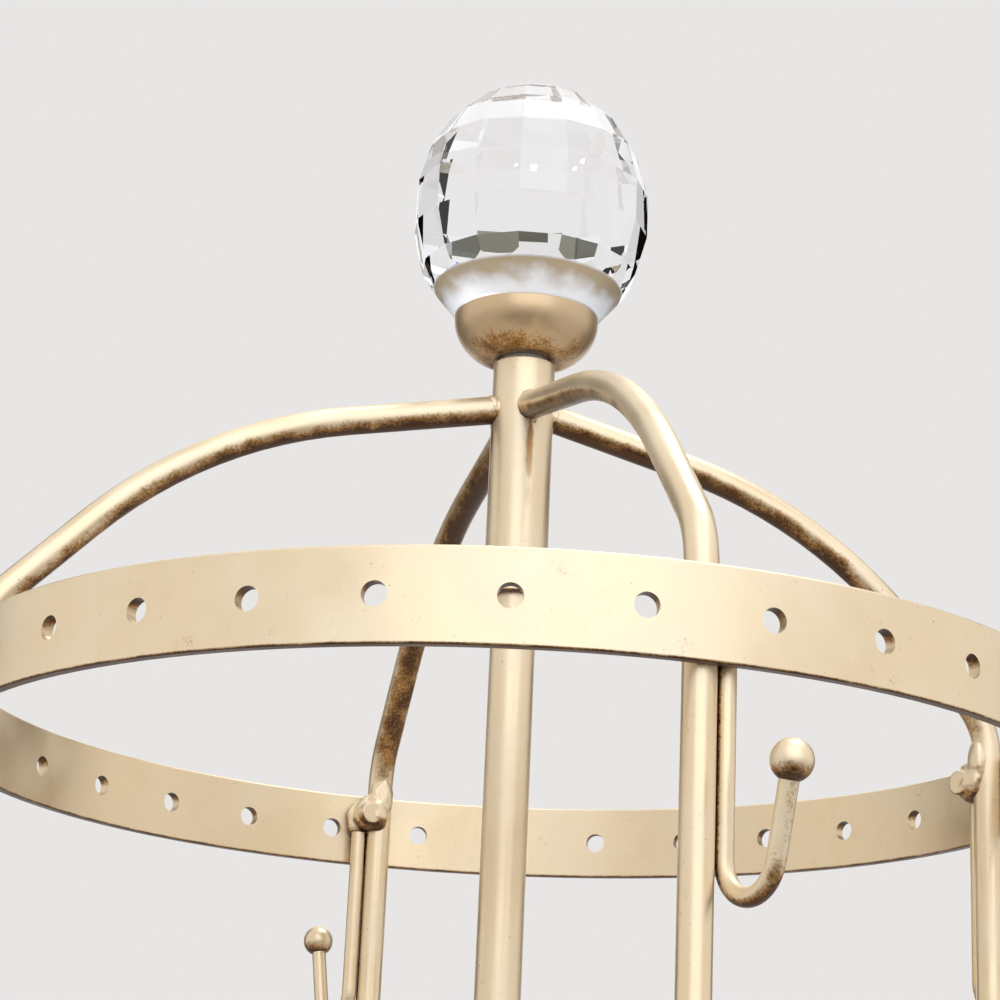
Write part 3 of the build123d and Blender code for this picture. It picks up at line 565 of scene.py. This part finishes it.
class STAND_OT_hook_welds(bpy.types.Operator):
    """Blobs that join each hook and upright to the top band, with the flat spot that the torch leaves"""

    bl_idname = "stand.hook_welds"
    bl_label = "Hook welds"

    def execute(self, context):
        sizes = context.scene.stand_welds
        cage = cage_sizes()
        between = cage["hook_aside"] * 0.5
        inner_face = cage["upright"] - cage["rod_radius"]
        half_width, half_height = sizes.blob_width / 2, sizes.blob_height / 2
        # Centre and radii: over the upright and the shank, up the upright, and out to the band
        blobs = (
            ((inner_face + 0.8 * MM, between, 0), (2.9 * MM, half_width, half_height)),
            ((inner_face + 0.8 * MM, 0, 3.4 * MM), (1.9 * MM, 2.4 * MM, 4.2 * MM)),
            ((cage["band_inside"] - 1.4 * MM, between + 1 * MM, -1 * MM), (1.6 * MM, 3.4 * MM, 4.2 * MM)),
        )
        # The flat spot's place and tilt, on the inner side of the blob
        spot = Matrix.Translation((inner_face - 1.35 * MM, between + 0.8 * MM, -0.3 * MM))
        tilt = Matrix.Rotation(radians(90), 4, "Y") @ Matrix.Rotation(radians(DISC_TILT), 4, "X")
        for number, side in enumerate(SIDES):
            bm = bmesh.new()
            place = outward_matrix(side, cage["shank_top"] + half_height)
            for step, (centre, radii) in enumerate(blobs):
                add_blob(bm, place, centre, radii, HOOK_SEED * number + step)
            radius = sizes.disc_diameter / 2
            disc = bmesh.ops.create_cone(
                bm, cap_ends=True, segments=48, radius1=radius, radius2=radius, depth=2 * MM
            )["verts"]
            bmesh.ops.transform(bm, matrix=place @ spot @ tilt, verts=disc)
            piece = make_piece(bm, f"hook_weld_{side}", "cage", "champagne_paint")
            melt(piece, sizes.grain, smoothing=3)
        return {"FINISHED"}


class STAND_OT_band_welds(bpy.types.Operator):
    """Upright beads between each upright and the lower band"""

    bl_idname = "stand.band_welds"
    bl_label = "Lower band welds"

    def execute(self, context):
        sizes = context.scene.stand_welds
        reach = cage_sizes()["band_inside"] - BAND_BEAD_INSET
        low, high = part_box("lower_band")
        drops = round((high.z - low.z) / (sizes.bead * DROP_PITCH))
        for number, side in enumerate(SIDES):
            bm = bmesh.new()
            place = outward_matrix(side)
            for aside in (-BAND_BEAD_ASIDE, BAND_BEAD_ASIDE):
                for drop in range(1, drops):
                    centre = (reach, aside, low.z + (high.z - low.z) * drop / drops)
                    seed = number + drop * DROP_SEED
                    add_blob(bm, place, centre, [sizes.bead * 0.5] * 3, seed, lumps=0.3)
            piece = make_piece(bm, f"band_weld_{side}", "cage", "champagne_paint")
            melt(piece, sizes.grain, smoothing=3)
        return {"FINISHED"}


class STAND_OT_root_welds(bpy.types.Operator):
    """Beads round the roots of the arms on the sleeve, and at both ends of the lower spokes"""

    bl_idname = "stand.root_welds"
    bl_label = "Root welds"

    def execute(self, context):
        sizes = context.scene.stand_welds
        cage = cage_sizes()
        sleeve_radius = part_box("hub_sleeve")[1].x
        hub_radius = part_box("lower_hub")[1].x
        spoke_low, spoke_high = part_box("lower_spoke_right")
        spoke_height = (spoke_low.z + spoke_high.z) / 2
        inner_face = cage["upright"] - cage["rod_radius"]
        slope = Matrix.Rotation(radians(ARM_SLOPE), 4, "Y")
        # Distance from the middle, height, radius of the rod and its slope
        roots = {
            "arm": (sleeve_radius + 0.2 * MM, cage["arm_height"], cage["rod_radius"], slope),
            "hub": (hub_radius, spoke_height, spoke_high.y, Matrix()),
            "spoke": (inner_face + 0.3 * MM, spoke_height, spoke_high.y, Matrix()),
        }
        for number, side in enumerate(SIDES):
            # The drips hang on the other hand at every second side
            hand = 1 - 2 * (number % 2)
            for step, (kind, (reach, height, radius, lean)) in enumerate(roots.items()):
                bm = bmesh.new()
                place = outward_matrix(side, height) @ Matrix.Translation((reach, 0, 0)) @ lean
                seed = ROOT_SEED * number + step
                add_ring_bead(bm, place, radius - BEAD_INSET, sizes.bead, seed)
                for lump, (aside, drop, size) in enumerate(DRIPS):
                    centre = (-0.1 * MM, aside * hand, -radius - drop)
                    radii = [part * size for part in DRIP_SHAPE]
                    add_blob(bm, place, centre, radii, seed + DRIP_SEED + lump, lumps=0.5)
                piece = make_piece(bm, f"{kind}_weld_{side}", "cage", "champagne_paint")
                melt(piece, sizes.grain, smoothing=4)
        return {"FINISHED"}


# ---- Pad ------------------------------------------------------------------------------------------


class STAND_OT_pad(bpy.types.Operator):
    """Velvet pad in the drawer, soft at its edges and a little uneven"""

    bl_idname = "stand.pad"
    bl_label = "Drawer pad"

    def execute(self, context):
        sizes = context.scene.stand_pad
        low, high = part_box("drawer_pad")
        bm = bmesh.new()
        bmesh.ops.create_cube(bm, size=1.0)
        bmesh.ops.scale(bm, vec=high - low, verts=bm.verts)
        bmesh.ops.translate(bm, vec=(low + high) / 2, verts=bm.verts)
        pad = make_piece(bm, "velvet_pad", "drawer", "short_velvet")
        melt(pad, sizes.weave, smoothing=4)
        for vert in pad.data.vertices:
            if vert.co.z > (low.z + high.z) / 2:
                vert.co.z -= sizes.sag * (0.5 + 0.5 * noise.noise(vert.co / sizes.hollow))
        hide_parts("drawer_pad")
        return {"FINISHED"}


# ---- Stage ----------------------------------------------------------------------------------------


def towards(heading, reach, height):
    """Place of an upright card that faces the stand's middle from that heading, in degrees."""
    turn = Matrix.Rotation(radians(heading), 4, "Z")
    return turn @ Matrix.Translation((reach, 0, height)) @ Matrix.Rotation(radians(-90), 4, "Y")


def pale_floor(sizes):
    """Matt pale paper, hazed with white for the camera and plain white inside the crystal."""
    material = new_material("floor")
    paper = add_node(material, "BsdfPrincipled", {"Base Color": sizes.floor, "Roughness": 0.9})
    white = add_node(material, "Emission", [(1, 1, 1, 1)])
    rays = add_node(material, "LightPath").outputs
    haze = add_node(material, "Math", (rays["Is Camera Ray"], FLOOR_HAZE), operation="MULTIPLY")
    paler = add_node(material, "Math", (rays["Is Transmission Ray"], haze), operation="MAXIMUM")
    surface = add_node(material, "MixShader", (paler, paper, white))
    add_node(material, "OutputMaterial", [surface])
    return material


def add_sheet(name, width, height, place, material):
    """A flat stage sheet that faces local Z."""
    bm = bmesh.new()
    bmesh.ops.create_grid(bm, x_segments=1, y_segments=1, size=0.5)
    bmesh.ops.scale(bm, vec=(width, height, 1), verts=bm.verts)
    bmesh.ops.transform(bm, matrix=place, verts=bm.verts)
    mesh = bpy.data.meshes.new(name)
    bm.to_mesh(mesh)
    bm.free()
    mesh.materials.append(material)
    sheet = add_object(name, mesh)
    return sheet


def add_card(name, width, height, place, tone, shown_in):
    """A card that only metal or only glass shows: it casts no shadow and no light."""
    material = new_material(name)
    add_node(material, "OutputMaterial", [add_node(material, "Emission", [tone])])
    card = add_sheet(name, width, height, place, material)
    for kind in ("camera", "diffuse", "glossy", "transmission", "shadow"):
        setattr(card, "visible_" + kind, kind == shown_in)


def add_flags(sizes):
    """Dark cards that metal mirrors: two upright, at the back left and the right, and one low in front."""
    for name, heading in FLAGS.items():
        place = towards(heading, FLAG_REACH, FLAG_MIDDLE)
        add_card(name, FLAG_HEIGHT, FLAG_WIDTH, place, sizes.flag, "glossy")
    add_card("flag_low", *LOW_FLAG_SIZE, Matrix.Translation(LOW_FLAG_PLACE), sizes.flag, "glossy")


def add_crystal_card(name, tone, heading, rise, width, height):
    """A card that shows only through the crystal, in the direction given from its middle."""
    place = towards(heading, CARD_REACH, CRYSTAL_HEIGHT + CARD_REACH * tan(radians(rise)))
    add_card(name, height, width, place, tone, "transmission")


def add_backdrop(sizes):
    """A pale world: plain for the camera and in glass, brighter in metal, dimmer as light."""
    world = bpy.data.worlds.new("backdrop")
    world.use_nodes = True
    world.node_tree.nodes.clear()
    rays = add_node(world, "LightPath").outputs
    seen_through = rays["Is Transmission Ray"]
    outside = add_node(world, "Math", (rays["Is Glossy Ray"], seen_through), operation="SUBTRACT")
    mirrored = add_node(world, "Math", (outside, GLOSSY_STRENGTH), operation="MULTIPLY")
    strength = rays["Is Camera Ray"]
    for other in (seen_through, mirrored, sizes.ambient):
        strength = add_node(world, "Math", (strength, other), operation="MAXIMUM")
    add_node(world, "OutputWorld", [add_node(world, "Background", (sizes.backdrop, strength))])
    bpy.context.scene.world = world


def add_lamp(name, watts, width, position, tone=(1, 1, 1, 1)):
    """A soft square lamp that looks at the top of the cage."""
    light = bpy.data.lights.new(name, "AREA")
    light.shape = "SQUARE"
    light.color = tone[:3]
    light.size = width
    light.energy = watts
    lamp = add_object(name, light)
    lamp.location = position
    lamp.rotation_euler = (LAMP_AIM - Vector(position)).to_track_quat("-Z", "Y").to_euler()
    lamp.visible_camera = False


def add_camera(sizes):
    """The photograph's view, from below the band and a little to the left."""
    camera = add_object("camera", bpy.data.cameras.new("camera"))
    camera.data.lens = sizes.lens
    camera.data.clip_start = 0.01
    camera.location = CAMERA_PLACE
    turn = Matrix.Rotation(radians(-CAMERA_HEADING), 3, "Z")
    tilt = Matrix.Rotation(pi / 2 + radians(CAMERA_PITCH), 3, "X")
    roll = Matrix.Rotation(radians(CAMERA_ROLL), 3, "Z")
    camera.rotation_euler = (turn @ tilt @ roll).to_euler()
    bpy.context.scene.camera = camera


class STAND_OT_stage(bpy.types.Operator):
    """Floor, cards, backdrop, lamps and camera"""

    bl_idname = "stand.stage"
    bl_label = "Stage"

    def execute(self, context):
        sizes = context.scene.stand_stage
        context.scene.view_settings.view_transform = "Standard"
        add_sheet("floor", FLOOR_WIDTH, FLOOR_WIDTH, Matrix(), pale_floor(sizes))
        add_flags(sizes)
        for number, rail in enumerate(RAILS):
            shade = RAIL_SHADE if number % 2 else 1.0
            tone = [part * shade for part in sizes.rail[:3]] + [1.0]
            add_crystal_card(f"rail_{number}", tone, *rail)
        add_crystal_card("gel", sizes.gel, *GEL)
        add_backdrop(sizes)
        add_lamp("key_lamp", sizes.key_power, KEY_WIDTH, KEY_PLACE, sizes.key_tint)
        add_lamp("top_lamp", sizes.top_power, TOP_WIDTH, TOP_PLACE)
        for number, (width, *position) in enumerate(GLINTS):
            watts = sizes.glint_power * (width / GLINTS[0][0]) ** 2
            add_lamp(f"glint_lamp_{number}", watts, width, position)
        add_camera(sizes)
        return {"FINISHED"}


# ---- Panel and steps ------------------------------------------------------------------------------


class STAND_PT_panel(bpy.types.Panel):
    """Lists the stand's sizes, colours and steps"""

    bl_idname = "STAND_PT_panel"
    bl_label = "Jewellery Stand"
    bl_space_type = "VIEW_3D"
    bl_region_type = "UI"
    bl_category = "Stand"

    def draw(self, context):
        for group in GROUPS:
            settings = getattr(context.scene, group)
            box = self.layout.box()
            for name in settings.bl_rna.properties.keys():
                if name not in ("rna_type", "name"):
                    box.prop(settings, name)
        for step in STEPS:
            self.layout.operator(step.bl_idname)


GROUPS = {
    "stand_finishes": StandFinishes,
    "stand_welds": StandWelds,
    "stand_pad": StandPad,
    "stand_stage": StandStage,
}
STEPS = (
    STAND_OT_finishes,
    STAND_OT_hook_welds,
    STAND_OT_band_welds,
    STAND_OT_root_welds,
    STAND_OT_pad,
    STAND_OT_stage,
)


def register():
    for part in (*GROUPS.values(), *STEPS, STAND_PT_panel):
        bpy.utils.register_class(part)
    for name, group in GROUPS.items():
        setattr(bpy.types.Scene, name, PointerProperty(type=group))


def unregister():
    for name in GROUPS:
        delattr(bpy.types.Scene, name)
    for part in (STAND_PT_panel, *reversed(STEPS), *reversed(GROUPS.values())):
        bpy.utils.unregister_class(part)


def main():
    register()
    for step in STEPS:
        group, name = step.bl_idname.split(".")
        getattr(getattr(bpy.ops, group), name)()


if __name__ == "__main__":
    main()
